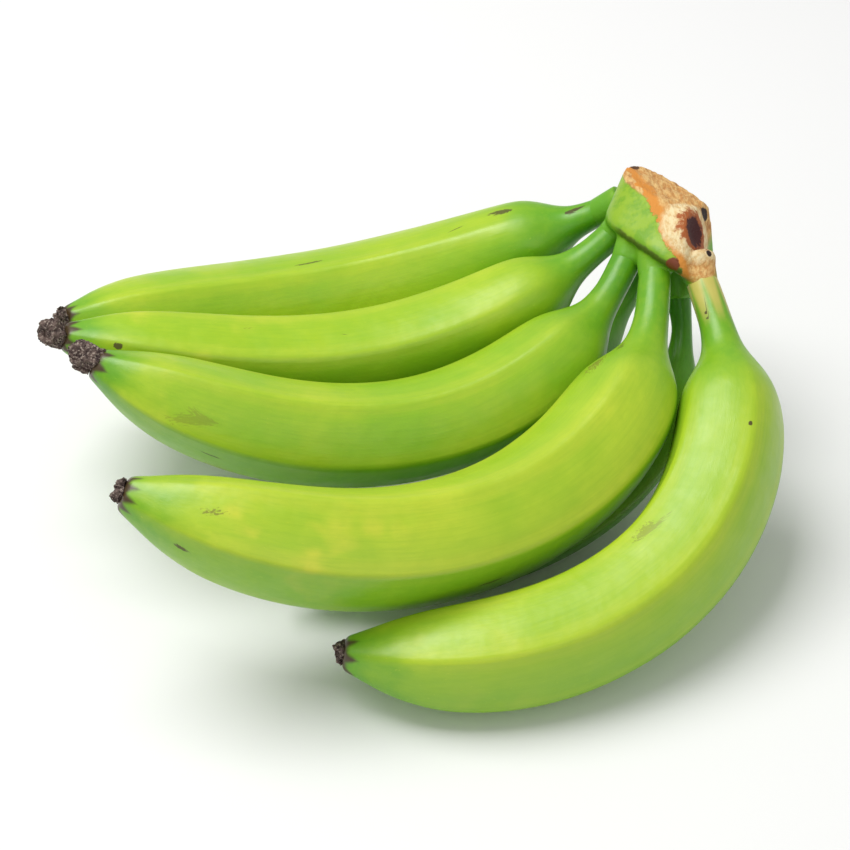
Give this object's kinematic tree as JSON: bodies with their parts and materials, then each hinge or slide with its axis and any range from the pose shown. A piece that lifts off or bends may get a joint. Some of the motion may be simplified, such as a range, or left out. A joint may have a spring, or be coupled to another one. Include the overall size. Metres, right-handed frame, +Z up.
{
  "type": "hand of green bananas",
  "caption": "Hand of unripe green bananas, curved fingers in two rows joined at a cut crown, lying flat on a surface with its crown raised.",
  "frame": {"origin": "under the middle of the hand, on the surface it lies on", "axes": "+Z up; the finger tips point towards -X; the cut crown is at the +X end, raised; the shorter outer finger curls round on the -Y side"},
  "size_m": [0.24, 0.195, 0.089],
  "materials": {
    "peel": "smooth waxy green peel with a soft sheen, deeper green at the necks and tips, and a few brown scars",
    "dried_flower": "dried grey-brown flower remains, crumbly and matt",
    "cut_stalk": "stalk with green skin, cut across to show tan fibres and a dark sap stain"
  },
  "bodies": {
    "root": {"finger_1": "peel", "finger_2": "peel", "finger_3": "peel", "finger_4": "peel", "finger_5": "peel", "finger_6": "peel", "finger_7": "peel", "flower_end_1": "dried_flower", "flower_end_2": "dried_flower", "flower_end_3": "dried_flower", "flower_end_4": "dried_flower", "flower_end_5": "dried_flower", "flower_end_6": "dried_flower", "flower_end_7": "dried_flower", "crown": "cut_stalk"}
  },
  "joints": []
}
